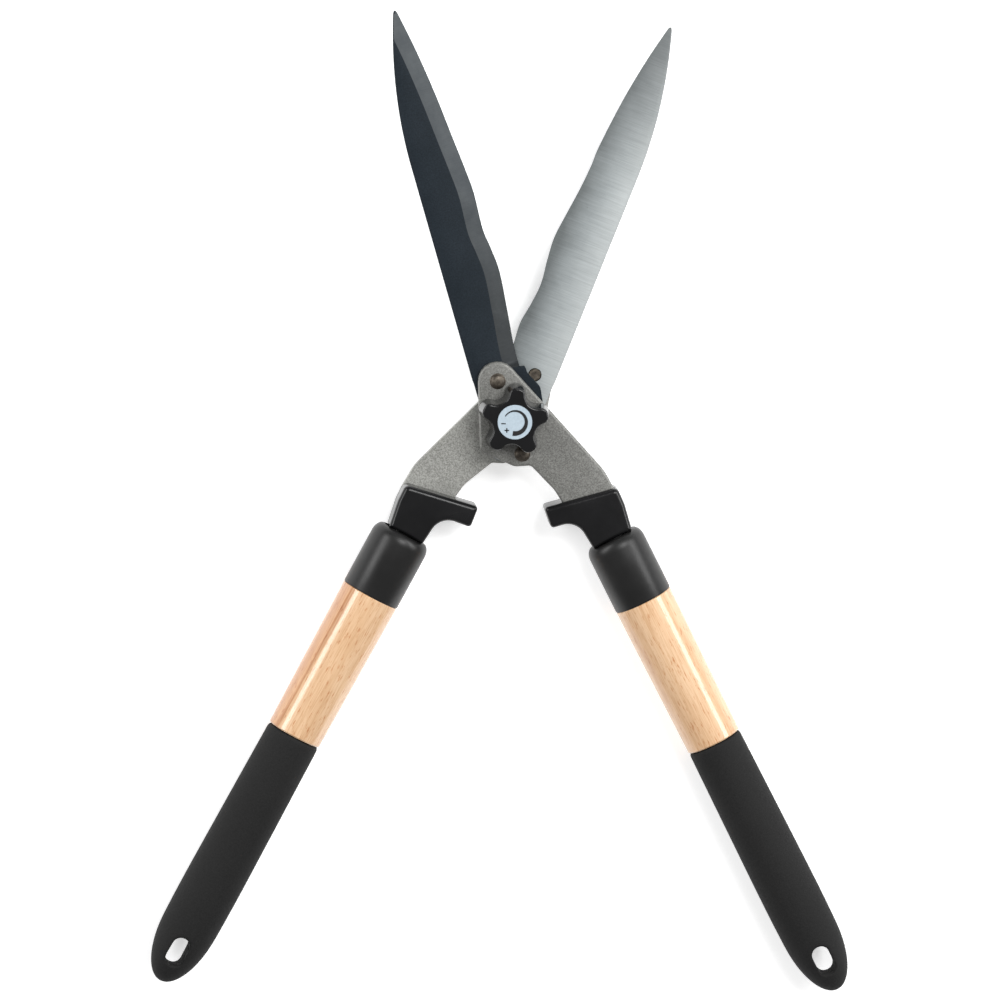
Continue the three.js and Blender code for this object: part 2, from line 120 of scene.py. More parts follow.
STOP_ANGLE = 20.3
TANG_END_RADIUS = 10.1
TAIL = {"half_width": 6.5, "half_thickness": 2.25, "start": 57, "step": 59, "taper": 142, "end": 150}
BUMPER = {"lug_top": 48.8, "lug_bottom": 60.3, "outer_top": 56.5, "end": 79.7, "half_depth": 11.5}
BUMPER_ROUNDING = 2.6
SPIGOT = {"start": 78.6, "end": 92, "radius": 9.0}
FERRULE = {"start": 80, "end": 116.4, "mouth": 11.1, "radius": 15.6, "bore": 13.9, "floor": 93}
WOOD = {"radius": 15.5, "end_radius": 14.65, "end": 199.6, "tenon": 13.6, "core": 11.6, "core_end": 313}
GRIP = {"start": 199.9, "end": 346.4, "lip": 14.0, "top": 14.5, "belly": 15.3, "round_end": 34}
HOLE = {"centre": 327.8, "length": 16.4, "width": 9.4}
KNOB = {"tip": 19.6, "half_lobe": 14.5, "valley": 9.8, "first": 14, "draft": 1.2, "rim": 1.2, "lobes": 5}
LABEL_RADIUS = 9.0
ON_AXIS = 0.01

mid_height = frame["joints"][0]["pos_m"][2] / MM
knob_low, knob_high = (corner.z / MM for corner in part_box("star_knob"))
label_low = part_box("knob_label")[0].z / MM


# ---------- placing ----------

def half_matrix(half):
    """From a half's own frame to the object's frame."""
    angle = math.radians(half["handle_angle"])
    c, s = math.cos(angle), math.sin(angle)
    if half["side"] == "right":
        turn = Matrix(((c, s, 0), (s, -c, 0), (0, 0, -1)))
    else:
        turn = Matrix(((-c, -s, 0), (s, -c, 0), (0, 0, 1)))
    return Matrix.Translation((0, 0, mid_height * MM)) @ turn.to_4x4()


def blade_matrix(half):
    """From a blade's frame to the object's frame."""
    bend = math.radians(half["handle_angle"] - half["blade_angle"])
    c, s = math.cos(bend), math.sin(bend)
    turn = Matrix(((c, s, 0), (s, -c, 0), (0, 0, -1))).to_4x4()
    back = Matrix.Translation((-half["spine_offset"] * MM, 0, 0))
    return half_matrix(half) @ turn @ back


def handle_matrix(half):
    """From a frame on the handle's axis to the object's frame."""
    return half_matrix(half) @ Matrix.Translation((half["handle_offset"] * MM, 0, 0))


PIVOT = Matrix.Identity(4)


def beside_blade(half, along, inward):
    """A place given in the blade's frame, as x and y in the half's frame."""
    bend = math.radians(half["handle_angle"] - half["blade_angle"])
    offset = inward - half["spine_offset"]
    x = along * math.sin(bend) + offset * math.cos(bend)
    y = -along * math.cos(bend) + offset * math.sin(bend)
    return x, y


# ---------- meshes ----------

def add_mesh(name, vertices, faces, matrix, body, nodes=(), smooth=30):
    """A piece from vertices in millimetres, placed by the matrix and riding on the body."""
    bm = bmesh.new()
    made = [bm.verts.new(Vector(v) * MM) for v in vertices]
    for face in faces:
        bm.faces.new([made[i] for i in face])
    bmesh.ops.remove_doubles(bm, verts=bm.verts, dist=1e-7)
    bmesh.ops.recalc_face_normals(bm, faces=bm.faces)
    mesh = bpy.data.meshes.new(name)
    bm.to_mesh(mesh)
    bm.free()
    piece = bpy.data.objects.new(name, mesh)
    bpy.context.scene.collection.objects.link(piece)
    piece.matrix_world = matrix
    soften(mesh, smooth)
    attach(piece, body)
    if nodes:
        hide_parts(*nodes)
    return piece


def soften(mesh, angle):
    """Smooth shading, with edges sharper than the angle kept sharp."""
    mesh.polygons.foreach_set("use_smooth", [True] * len(mesh.polygons))
    mesh.set_sharp_from_angle(angle=math.radians(angle))


def apply_modifiers(piece, smooth=30):
    """Replaces the piece's mesh with what its modifiers make of it."""
    depsgraph = bpy.context.evaluated_depsgraph_get()
    depsgraph.update()
    mesh = bpy.data.meshes.new_from_object(piece.evaluated_get(depsgraph))
    piece.modifiers.clear()
    piece.data = mesh
    soften(mesh, smooth)


def add_boolean(piece, other, operation):
    modifier = piece.modifiers.new("boolean", "BOOLEAN")
    modifier.object = other
    modifier.operation = operation
    modifier.solver = "EXACT"


def cut(piece, cutters, smooth=30):
    """Cuts closed meshes out of a piece and removes them."""
    for cutter in cutters:
        cutter.matrix_world = piece.matrix_world @ cutter.matrix_world
        add_boolean(piece, cutter, "DIFFERENCE")
    bpy.context.view_layer.update()
    apply_modifiers(piece, smooth)
    for cutter in cutters:
        bpy.data.objects.remove(cutter)


def join_mesh(piece, vertices, faces):
    """Adds a closed mesh in the piece's own frame to the piece."""
    extra = cutter_from(vertices, faces)
    extra.matrix_world = piece.matrix_world
    add_boolean(piece, extra, "UNION")
    bpy.context.view_layer.update()
    apply_modifiers(piece)
    bpy.data.objects.remove(extra)


def cutter_from(vertices, faces):
    """A loose closed mesh from vertices in millimetres, to cut with or to add."""
    mesh = bpy.data.meshes.new("cutter")
    mesh.from_pydata([Vector(v) * MM for v in vertices], [], faces)
    bm = bmesh.new()
    bm.from_mesh(mesh)
    bmesh.ops.recalc_face_normals(bm, faces=bm.faces)
    bm.to_mesh(mesh)
    bm.free()
    cutter = bpy.data.objects.new("cutter", mesh)
    bpy.context.scene.collection.objects.link(cutter)
    return cutter


def lathe(profile, segments=96):
    """Turned about the Y axis, from [distance along, radius] points."""
    vertices, faces = [], []
    for along, radius in profile:
        for i in range(segments):
            angle = 2 * math.pi * i / segments
            vertices.append((radius * math.sin(angle), along, radius * math.cos(angle)))
    rings = len(profile)
    for ring in range(rings - 1):
        for i in range(segments):
            j = (i + 1) % segments
            a, b = ring * segments, (ring + 1) * segments
            faces.append((a + i, a + j, b + j, b + i))
    faces.append(tuple(range(segments)))
    faces.append(tuple((rings - 1) * segments + i for i in range(segments)))
    return vertices, faces


def lathe_on_pivot(profile, segments=96):
    """Turned about the Z axis, from [height, radius] points."""
    vertices, faces = lathe(profile, segments)
    return [(x, -z, y) for x, y, z in vertices], faces


def closed_lathe(profile, segments=96):
    """Turned about the Y axis, from a profile that closes on itself."""
    vertices, faces = lathe(profile, segments)
    faces = faces[:-2]
    last = (len(profile) - 1) * segments
    for i in range(segments):
        j = (i + 1) % segments
        faces.append((last + i, last + j, j, i))
    return vertices, faces


def arc(centre, radii, start, end, steps):
    """Points on an ellipse about [along, radius], from one angle in degrees to another."""
    points = []
    for i in range(steps + 1):
        angle = math.radians(start + (end - start) * i / steps)
        along = centre[0] + radii[0] * math.cos(angle)
        points.append((along, centre[1] + radii[1] * math.sin(angle)))
    return points


def outline(corners, inset=0.0, steps=8):
    """A closed outline through [x, y, radius] corners, each side moved inwards by the inset."""
    points = [Vector(c[:2]) for c in corners]
    count = len(points)
    area = sum(points[i].cross(points[(i + 1) % count]) for i in range(count))
    side = 1 if area > 0 else -1
    lines = []
    for i in range(count):
        a, b = points[i], points[(i + 1) % count]
        direction = (b - a).normalized()
        inward = Vector((-direction.y, direction.x)) * side
        lines.append((a + inward * inset, direction))
    made = []
    for i in range(count):
        (p, u), (q, v) = lines[i - 1], lines[i]
        turn = u.cross(v)
        corner = q if abs(turn) < 1e-6 else p + u * ((q - p).cross(v) / turn)
        convex = turn * side > 0
        radius = max(0.02, corners[i][2] + (-inset if convex else inset))
        half_turn = math.atan2(abs(turn), u.dot(v)) / 2
        reach = radius * math.tan(half_turn)
        start = corner - u * reach
        normal = Vector((-u.y, u.x)) * (1 if turn > 0 else -1)
        centre = start + normal * radius
        first, total = start - centre, 2 * half_turn * (1 if turn > 0 else -1)
        for k in range(steps + 1):
            angle = total * k / steps
            c, s = math.cos(angle), math.sin(angle)
            made.append(centre + Vector((first.x * c - first.y * s, first.x * s + first.y * c)))
    return made


def prism(corners, rings, steps=8):
    """A solid through rings of one outline, each ring an [inset, height] pair."""
    vertices, faces = [], []
    for inset, height in rings:
        points = outline(corners, inset, steps)
        vertices += [(p.x, p.y, height) for p in points]
    count = len(vertices) // len(rings)
    for ring in range(len(rings) - 1):
        for i in range(count):
            j = (i + 1) % count
            a, b = ring * count, (ring + 1) * count
            faces.append((a + i, a + j, b + j, b + i))
    faces.append(tuple(range(count)))
    faces.append(tuple((len(rings) - 1) * count + i for i in range(count)))
    return vertices, faces


def rounded_rings(low, high, low_round, high_round, steps=5):
    """Rings of a plate whose two rims are rounded."""
    rings = []
    for i in range(steps + 1):
        angle = math.pi / 2 * i / steps
        rings.append((low_round * (1 - math.sin(angle)), low + low_round * (1 - math.cos(angle))))
    for i in range(steps + 1):
        angle = math.pi / 2 * i / steps
        rings.append((high_round * (1 - math.cos(angle)), high - high_round * (1 - math.sin(angle))))
    return rings


def smoothstep(value, low, high):
    """Rises smoothly from 0 at low to 1 at high."""
    t = min(1.0, max(0.0, (value - low) / (high - low)))
    return t * t * (3 - 2 * t)


# ---------- material nodes ----------

class Paint:
    """Builds one node material around a Principled shader."""

    def __init__(
        self, name, colour, roughness, metallic=0.0, coat=0.0, coat_roughness=0.05, specular=0.5
    ):
        self.material = bpy.data.materials.new(name)
        self.material.use_nodes = True
        self.nodes = self.material.node_tree.nodes
        self.links = self.material.node_tree.links
        self.shader = self.nodes["Principled BSDF"]
        self.set("Base Color", (*colour, 1))
        self.set("Roughness", roughness)
        self.set("Metallic", metallic)
        self.set("Coat Weight", coat)
        self.set("Coat Roughness", coat_roughness)
        self.set("Specular IOR Level", specular)
        self.place = self.nodes.new("ShaderNodeTexCoord").outputs["Object"]

    def set(self, socket, value):
        self.shader.inputs[socket].default_value = value

    def join(self, output, node, socket):
        self.links.new(output, node.inputs[socket])

    def stretched(self, scale, turn=0.0):
        node = self.nodes.new("ShaderNodeMapping")
        node.inputs["Scale"].default_value = scale
        node.inputs["Rotation"].default_value = (0, 0, math.radians(turn))
        self.join(self.place, node, "Vector")
        return node.outputs["Vector"]

    def noise(self, scale, detail=4.0, roughness=0.55, stretch=(1, 1, 1), turn=0.0, distortion=0.0):
        node = self.nodes.new("ShaderNodeTexNoise")
        node.inputs["Scale"].default_value = scale
        node.inputs["Detail"].default_value = detail
        node.inputs["Roughness"].default_value = roughness
        node.inputs["Distortion"].default_value = distortion
        self.join(self.stretched(stretch, turn), node, "Vector")
        return node.outputs["Fac"]

    def cells(self, scale):
        node = self.nodes.new("ShaderNodeTexVoronoi")
        node.inputs["Scale"].default_value = scale
        self.join(self.place, node, "Vector")
        return node.outputs["Distance"]

    def along(self, axis):
        node = self.nodes.new("ShaderNodeSeparateXYZ")
        self.join(self.place, node, "Vector")
        return node.outputs[axis]

    def ramp(self, value, stops):
        """Colours along a value, from [position, colour] stops."""
        node = self.nodes.new("ShaderNodeValToRGB")
        elements = node.color_ramp.elements
        while len(elements) < len(stops):
            elements.new(0.5)
        for element, (position, colour) in zip(elements, stops):
            element.position = position
            element.color = (*colour, 1)
        self.join(value, node, "Fac")
        return node.outputs["Color"]

    def spread(self, value, from_low, from_high, to_low, to_high):
        """The value, stretched from one range to another and clamped."""
        node = self.nodes.new("ShaderNodeMapRange")
        node.inputs["From Min"].default_value = from_low
        node.inputs["From Max"].default_value = from_high
        node.inputs["To Min"].default_value = to_low
        node.inputs["To Max"].default_value = to_high
        self.join(value, node, "Value")
        return node.outputs["Result"]

    def mix(self, factor, a, b, blend="MIX"):
        node = self.nodes.new("ShaderNodeMix")
        node.data_type = "RGBA"
        node.blend_type = blend
        node.inputs[0].default_value = factor
        self.links.new(a, node.inputs[6])
        self.links.new(b, node.inputs[7])
        return node.outputs[2]

    def multiply(self, *colours, strength=1.0):
        """The colours multiplied together, each after the first at this strength."""
        made = colours[0]
        for colour in colours[1:]:
            made = self.mix(strength, made, colour, "MULTIPLY")
        return made

    def combine(self, value, other, operation="ADD"):
        """Two values, or a value and a number, added or multiplied."""
        node = self.nodes.new("ShaderNodeMath")
        node.operation = operation
        self.links.new(value, node.inputs[0])
        if isinstance(other, float):
            node.inputs[1].default_value = other
        else:
            self.links.new(other, node.inputs[1])
        return node.outputs[0]

    def colour(self, value):
        self.join(value, self.shader, "Base Color")

    def roughness(self, value):
        self.join(value, self.shader, "Roughness")

    def bump(self, height, strength, distance):
        node = self.nodes.new("ShaderNodeBump")
        node.inputs["Strength"].default_value = strength
        node.inputs["Distance"].default_value = distance
        self.join(height, node, "Height")
        self.join(node.outputs["Normal"], self.shader, "Normal")


def grey(value):
    return (value, value, value)


def blued_steel():
    """Blued black steel with a faint cloud and a fine grain."""
    paint = Paint("blued_steel", (0.014, 0.018, 0.024), 0.5, specular=0.1)
    fine = paint.noise(1400, 3)
    cloud = paint.noise(30, 3)
    tone = paint.ramp(cloud, [(0.3, (0.0115, 0.0165, 0.0215)), (0.7, (0.0165, 0.0225, 0.029))])
    grain = paint.ramp(fine, [(0.35, grey(0.75)), (0.7, grey(1.2))])
    paint.colour(paint.multiply(tone, grain))
    paint.roughness(paint.spread(fine, 0.3, 0.7, 0.46, 0.58))
    paint.bump(fine, 0.08, 0.0002)
    return paint.material


def ground_band():
    """Ground steel band: cross lines, a matt blotch here and there."""
    paint = Paint("ground_band", (0.05, 0.055, 0.06), 0.5, 0.4, specular=0.25)
    lines = paint.noise(1, 3, stretch=(120, 3800, 300))
    cloud = paint.noise(60, 5, 0.65)
    tone = paint.ramp(
        cloud,
        [(0.3, (0.04, 0.046, 0.051)), (0.62, (0.06, 0.067, 0.071)), (0.8, (0.095, 0.105, 0.11))],
    )
    up_the_blade = paint.spread(paint.along("Y"), 0.05, 0.12, 0, 1)
    # Darker towards the blade's root, by a ramp along the blade.
    darker_near_root = paint.ramp(up_the_blade, [(0.0, grey(0.52)), (1.0, grey(1.06))])
    scratches = paint.ramp(lines, [(0.3, grey(0.7)), (0.7, grey(1.1))])
    paint.colour(paint.multiply(paint.multiply(tone, darker_near_root), scratches, strength=0.5))
    paint.roughness(paint.spread(lines, 0.3, 0.7, 0.46, 0.56))
    paint.bump(lines, 0.06, 0.0001)
    return paint.material


def bright_steel():
    """Ground inner face: fine lines across the blade, with painted shade that darkens it towards the cutting
    edge in place of the hollow grind's reflection.
    """
    paint = Paint("bright_steel", (0.5, 0.53, 0.53), 0.42, 0.55)
    lines = paint.noise(1, 3, 0.6, stretch=(60, 6200, 300))
    coarse = paint.noise(1, 3, stretch=(24, 1100, 80))
    cloud = paint.noise(45, 5, 0.6)
    # Painted shade: the face darkens from its back towards the cutting edge, standing in for the hollow
    # grind's changing reflection.
    across = paint.spread(paint.along("X"), 0.001, 0.029, 0.0, 1.0)
    wander = paint.combine(across, paint.spread(cloud, 0.3, 0.7, -0.09, 0.09))
    painted_shade_stops = [
        (0.0, (0.5, 0.53, 0.53)), (0.3, (0.4, 0.43, 0.435)), (0.6, (0.27, 0.295, 0.3)),
        (0.9, (0.14, 0.155, 0.157)),
    ]
    painted_shade = paint.ramp(wander, painted_shade_stops)
    streaks = paint.ramp(lines, [(0.3, grey(0.8)), (0.7, grey(1.06))])
    bands = paint.ramp(coarse, [(0.35, grey(0.93)), (0.65, grey(1.03))])
    towards_tip = paint.spread(paint.along("Y"), 0.13, 0.215, 0, 1)
    dull = paint.ramp(towards_tip, [(0.0, grey(1.0)), (0.9, grey(0.5))])
    specks = paint.ramp(paint.cells(140), [(0.0, grey(0.4)), (0.04, grey(1.0))])
    paint.colour(paint.multiply(paint.multiply(painted_shade, streaks, bands, dull), specks, strength=0.8))
    paint.roughness(paint.spread(lines, 0.3, 0.7, 0.38, 0.5))
    paint.bump(paint.combine(lines, coarse), 0.05, 0.0001)
    return paint.material


def hammertone(name, painted_light_level):
    """Grey hammered paint, made lighter or darker as a whole by a painted light level: small rounded dimples
    and a speckle.
    """
    paint = Paint(name, (0.22, 0.22, 0.205), 0.46, 0.3, coat=0.2, coat_roughness=0.3)
    grain = paint.noise(3200, 3, 0.6)
    dimples = paint.noise(1500, 2, 0.5, distortion=0.4)
    cloud = paint.noise(40, 3)
    tone = paint.ramp(
        dimples, [(0.34, (0.15, 0.15, 0.138)), (0.5, (0.23, 0.23, 0.215)), (0.68, (0.32, 0.32, 0.3))]
    )
    speckle = paint.ramp(grain, [(0.35, grey(0.68)), (0.6, grey(1.0)), (0.75, grey(1.15))])
    # The random wash is scaled by the painted light level, so the front tang gets a shaded copy of the paint
    # and the back tang a lit one.
    wash = paint.ramp(cloud, [(0.3, grey(0.92 * painted_light_level)), (0.7, grey(1.05 * painted_light_level))])
    paint.colour(paint.multiply(paint.multiply(tone, speckle, strength=0.7), wash))
    paint.roughness(paint.spread(grain, 0.3, 0.7, 0.4, 0.55))
    paint.bump(paint.combine(dimples, paint.combine(grain, 0.4, "MULTIPLY")), 0.4, 0.00012)
    return paint.material


def rivet_steel():
    """Browned steel with darker patches and fine pits."""
    paint = Paint("rivet_steel", (0.1, 0.085, 0.065), 0.42, 0.6)
    spots = paint.noise(1400, 4)
    patch = paint.noise(480, 3)
    tone = paint.ramp(
        patch,
        [(0.3, (0.045, 0.037, 0.029)), (0.55, (0.11, 0.092, 0.072)), (0.75, (0.2, 0.175, 0.14))],
    )
    pits = paint.ramp(spots, [(0.35, grey(0.5)), (0.65, grey(1.0))])
    paint.colour(paint.multiply(tone, pits, strength=0.6))
    paint.roughness(paint.spread(spots, 0.3, 0.7, 0.34, 0.54))
    paint.bump(spots, 0.3, 0.0002)
    return paint.material


def plated_steel():
    """Plated steel with a haze and fine scuffs."""
    paint = Paint("plated_steel", (0.5, 0.51, 0.53), 0.3, 1.0)
    haze = paint.noise(120, 4)
    scuffs = paint.noise(1, 3, stretch=(1600, 120, 400), turn=25)
    tone = paint.ramp(haze, [(0.3, (0.4, 0.41, 0.43)), (0.7, (0.58, 0.59, 0.6))])
    marks = paint.ramp(scuffs, [(0.3, grey(0.75)), (0.6, grey(1.0))])
    paint.colour(paint.multiply(tone, marks, strength=0.6))
    paint.roughness(paint.spread(haze, 0.3, 0.7, 0.24, 0.4))
    paint.bump(scuffs, 0.08, 0.0001)
    return paint.material


def plastic(name, colour, roughness, swing, bump, specular):
    """Moulded plastic: a slight orange peel, faint scuffs and an uneven gloss."""
    paint = Paint(name, colour, roughness, specular=specular)
    peel = paint.noise(500, 3)
    haze = paint.noise(40, 4)
    low, high = (tuple(c * k for c in colour) for k in (0.8, 1.3))
    paint.colour(paint.ramp(haze, [(0.3, low), (0.7, high)]))
    hazy = paint.spread(haze, 0.3, 0.7, -swing, swing)
    uneven = paint.combine(hazy, paint.spread(peel, 0.3, 0.7, -0.02, 0.02))
    paint.roughness(paint.combine(uneven, roughness))
    paint.bump(peel, bump, 0.0002)
    return paint.material


def rubber():
    """Matt rubber with a fine skin of pits."""
    paint = Paint("rubber", (0.012, 0.012, 0.012), 0.78, specular=0.2)
    pits = paint.noise(1500, 4, 0.65)
    cloud = paint.noise(28, 4)
    tone = paint.ramp(cloud, [(0.3, grey(0.0095)), (0.7, grey(0.0145))])
    speckle = paint.ramp(pits, [(0.3, grey(0.004)), (0.7, grey(0.025))])
    paint.colour(paint.mix(0.6, tone, speckle))
    paint.roughness(paint.spread(pits, 0.3, 0.7, 0.68, 0.9))
    paint.bump(pits, 0.4, 0.0003)
    return paint.material


def varnished_wood(shift, streak):
    """Pale hardwood with long pores and flecks under a clear varnish, and a brown streak down one handle."""
    paint = Paint("varnished_wood_%d" % shift, (0.78, 0.48, 0.27), 0.42, coat=0.9, coat_roughness=0.07)
    sideways = paint.along("X")
    mapping = paint.nodes.new("ShaderNodeMapping")
    mapping.inputs["Location"].default_value = (0.05 * shift, 0.3 * shift, 0.02 * shift)
    paint.join(paint.place, mapping, "Vector")
    paint.place = mapping.outputs["Vector"]
    rings = paint.noise(1, 4, 0.5, stretch=(230, 9, 230), distortion=0.4)
    fibre = paint.noise(1, 5, 0.6, stretch=(1900, 75, 1900))
    flecks = paint.noise(1, 3, 0.6, stretch=(1100, 190, 1100))
    cloud = paint.noise(1, 3, stretch=(45, 12, 45))
    growth = [
        (0.28, (0.64, 0.39, 0.21)), (0.45, (0.72, 0.475, 0.28)), (0.6, (0.77, 0.53, 0.33)),
        (0.75, (0.69, 0.435, 0.245)),
    ]
    base = paint.ramp(rings, growth)
    fibres = paint.ramp(fibre, [(0.34, (0.8, 0.7, 0.6)), (0.56, grey(1.0))])
    marks = paint.ramp(flecks, [(0.3, (0.74, 0.5, 0.33)), (0.42, grey(1.0))])
    wash = paint.ramp(cloud, [(0.3, (0.9, 0.84, 0.77)), (0.65, grey(1.0))])
    tone = paint.multiply(paint.multiply(base, fibres, strength=0.8), marks, wash)
    if streak:
        wander = paint.combine(sideways, paint.spread(rings, 0.3, 0.7, -0.002, 0.002))
        place = paint.spread(wander, 0.005, 0.015, 0, 1)
        browns = [
            (0.4, grey(1.0)), (0.56, (0.62, 0.42, 0.27)), (0.72, (0.86, 0.74, 0.62)),
            (0.9, (0.72, 0.56, 0.44)),
        ]
        tone = paint.multiply(tone, paint.ramp(place, browns))
    paint.colour(tone)
    paint.roughness(paint.spread(fibre, 0.3, 0.7, 0.38, 0.5))
    paint.bump(fibre, 0.05, 0.0002)
    return paint.material


def label_film():
    """A pale printed film with a faint speck."""
    paint = Paint("label_film", (0.4, 0.48, 0.54), 0.35)
    speck = paint.noise(900, 3)
    tone = paint.ramp(speck, [(0.3, (0.36, 0.435, 0.495)), (0.7, (0.42, 0.5, 0.56))])
    paint.colour(tone)
    paint.roughness(paint.spread(speck, 0.3, 0.7, 0.3, 0.42))
    return paint.material


MATERIALS = {
    "blued": blued_steel(),
    "band": ground_band(),
    "bright": bright_steel(),
    # The front tang's paint is darkened as painted shade and the back tang's is lightened as painted light,
    # though both lie flat under the same lamps.
    "front_paint": hammertone("front_hammertone_painted_shade", 0.82),
    "back_paint": hammertone("back_hammertone_painted_light", 1.48),
    "rivet": rivet_steel(),
    "plated": plated_steel(),
    "gloss": plastic("gloss_plastic", (0.0055, 0.0055, 0.006), 0.24, 0.07, 0.08, 0.3),
    "knob": plastic("knob_plastic", (0.0045, 0.0045, 0.005), 0.17, 0.04, 0.03, 0.35),
    "satin": plastic("satin_plastic", (0.009, 0.009, 0.009), 0.38, 0.04, 0.1, 0.35),
    "rubber": rubber(),
    "label": label_film(),
    "ink": plastic("label_ink", (0.012, 0.012, 0.013), 0.5, 0.05, 0.05, 0.3),
}


def dress(piece, *names):
    piece.data.materials.clear()
    for name in names:
        piece.data.materials.append(MATERIALS[name])


# ---------- blades ----------

def catmull_rom(points, per_span=16):
    """Points along a smooth curve through the given ones."""
    def between(a, b, c, d, t):
        square = (2 * a - 5 * b + 4 * c - d) * t**2
        cube = (3 * b - a - 3 * c + d) * t**3
        return 0.5 * (2 * b + (c - a) * t + square + cube)

    made = []
    last = len(points) - 1
    for i in range(last):
        near = (points[max(0, i - 1)], points[i], points[i + 1], points[min(last, i + 2)])
        for k in range(per_span):
            made.append(tuple(between(*values, k / per_span) for values in zip(*near)))
    made.append(points[last])
    return made


def level(points, at):
    """The second coordinate, where the first is at, on a line through points in order."""
    for (a, low), (b, high) in zip(points, points[1:]):
        if a <= at <= b:
            return low + (high - low) * (at - a) / max(b - a, 1e-9)
    return points[-1][1] if at > points[-1][0] else points[0][1]


# The blade's root, as [along, inward, radius] corners; the last three only close the outline.
ROOT = [
    (60, 0, 0), (-13, 0.4, 5), (-25, 11, 6), (-19, 24, 8), (-2, 31.4, 10), (11.5, 33, 3), (20, 28.6, 3),
    (HEEL_END + 0.6, 28.2, 1.5), (HEEL_END + 0.6, 10, 0), (60, 10, 0),
]


def root_span(along, outline_points):
    """Where the outline of the blade's root begins and ends across the blade."""
    crossings = []
    count = len(outline_points)
    for i in range(count):
        a, b = outline_points[i], outline_points[(i + 1) % count]
        if (a.x - along) * (b.x - along) < 0:
            crossings.append(a.y + (b.y - a.y) * (along - a.x) / (b.x - a.x))
    return min(crossings), max(crossings)


def blade_places(start, tip):
    """Where the slices lie: closer together at the root's end, at the heel's step and at the nose."""
    root_end, step, spacing = 8, 0.12, 1.25
    places = [start + 0.02 + (root_end * (1 - math.cos(math.pi / 2 * i / 14))) for i in range(14)]
    places += [start + root_end + i * (HEEL_END - start - root_end) / 30 for i in range(31)]
    places += [HEEL_END + step * i for i in range(1, 8)]
    places += [HEEL_END + 1 + spacing * i for i in range(int((tip - HEEL_END - 4) / spacing))]
    places += [tip - NOSE * math.cos(math.pi / 2 * i / 10) for i in range(10)]
    return sorted(places)


def blade_slices(half):
    """[along, back, edge, ground] at each slice: ground goes from 0 on the heel to 1 on the bevel."""
    wave = catmull_rom(half["edge"])
    root = outline(ROOT, 0, 24)
    tip = half["edge"][-1][0]
    heel = root_span(HEEL_END, root)[1]
    heel_rounding, grind_run_out = 0.8, 3.5
    slices = []
    for along in blade_places(min(p.x for p in root), tip):
        if along <= HEEL_END:
            back, edge = root_span(along, root)
        else:
            back = BACK_CURVE * max(0, along - BACK_CURVE_START) ** 2
            edge = level(wave, along)
            drop = min(1.0, (along - HEEL_END) / heel_rounding)
            edge += (heel - edge) * (1 - math.sqrt(1 - (1 - drop) ** 2)) * (drop < 1)
        if along > tip - NOSE:
            closing = math.sqrt(max(0.004, 1 - ((along - tip + NOSE) / NOSE) ** 2))
            middle = (back + edge) / 2
            back, edge = middle + (back - middle) * closing, middle + (edge - middle) * closing
        slices.append((along, back, edge, smoothstep(along, HEEL_END, HEEL_END + grind_run_out)))
    return slices


def blade_section(along, back, edge, ground):
    """[inward, height] points round the blade, with the inner face at the bottom of the frame."""
    width = edge - back
    bevel = BEVEL_WIDTH * ground ** 0.6
    shoulder = max(edge - bevel, back + min(0.3, 0.2 * width))
    full = BLADE_OUTER - BLADE_INNER
    share = min(1.0, (edge - shoulder) / max(bevel, 0.01 * BEVEL_WIDTH))
    rim = EDGE_THICKNESS + (full - EDGE_THICKNESS) * (1 - ground)
    top = rim + share * (full - rim)
    hollow = HOLLOW * smoothstep(along, 30, 60) * min(1.0, width / 20)
    r = min(CORNER_EASE, width / 8)
    inner_face = [(back + r + (width - r) * i / 8, hollow * (1 - (i / 4 - 1) ** 2)) for i in range(9)]
    soft = min(0.12, (edge - shoulder) / 3)
    return inner_face + [
        (edge, rim),
        (edge - 0.5 * (edge - shoulder), rim + 0.5 * (top - rim)),
        (shoulder + soft, top - soft * (top - rim) / max(edge - shoulder, 0.05)),
        (shoulder - min(0.12, width / 16), top),
        (back + 0.45 * (shoulder - back), top),
        (back + r, top),
        (back + 0.3 * r, top - 0.3 * r),
        (back, top - r),
        (back, r),
        (back + 0.3 * r, 0.3 * r),
    ]


def make_blade(name, half):
    """A blade lofted through its slices, in three materials, with holes for the bolt and the rivets."""
    slices = blade_slices(half)
    vertices, faces = [], []
    sections = [blade_section(*slice_) for slice_ in slices]
    sides = len(sections[0])
    for (along, *_), section in zip(slices, sections):
        vertices += [(inward, along, BLADE_INNER + height) for inward, height in section]
    for i in range(len(slices) - 1):
        for j in range(sides):
            k = (j + 1) % sides
            a, b = i * sides, (i + 1) * sides
            faces.append((a + j, a + k, b + k, b + j))
    faces.append(tuple(range(sides)))
    faces.append(tuple((len(slices) - 1) * sides + j for j in range(sides)))
    piece = add_mesh(name, vertices, faces, blade_matrix(half), half["body"], [name])
    dress(piece, "blued", "band", "bright")
    paint_blade(piece, slices)
    rivets = [(inward, along) for along, inward in (half["upper_rivet"], LOWER_RIVET)]
    cut(piece, hole_cutters(rivets, (half["spine_offset"], 0)))


def paint_blade(piece, slices):
    """Gives the inner face, the bevel and the rest their materials, by where each face lies."""
    rest, band, bright = range(3)
    for polygon in piece.data.polygons:
        centre = polygon.center / MM
        normal = polygon.normal
        _, back, _, ground = min(slices, key=lambda slice_: abs(slice_[0] - centre.y))
        if normal.z < -0.9 and centre.z < BLADE_INNER + HOLLOW + 0.1:
            polygon.material_index = bright
        elif ground > 0.05 and (normal.x > 0.12 or normal.z < -0.3) and centre.x > back + 1:
            polygon.material_index = band
        else:
            polygon.material_index = rest


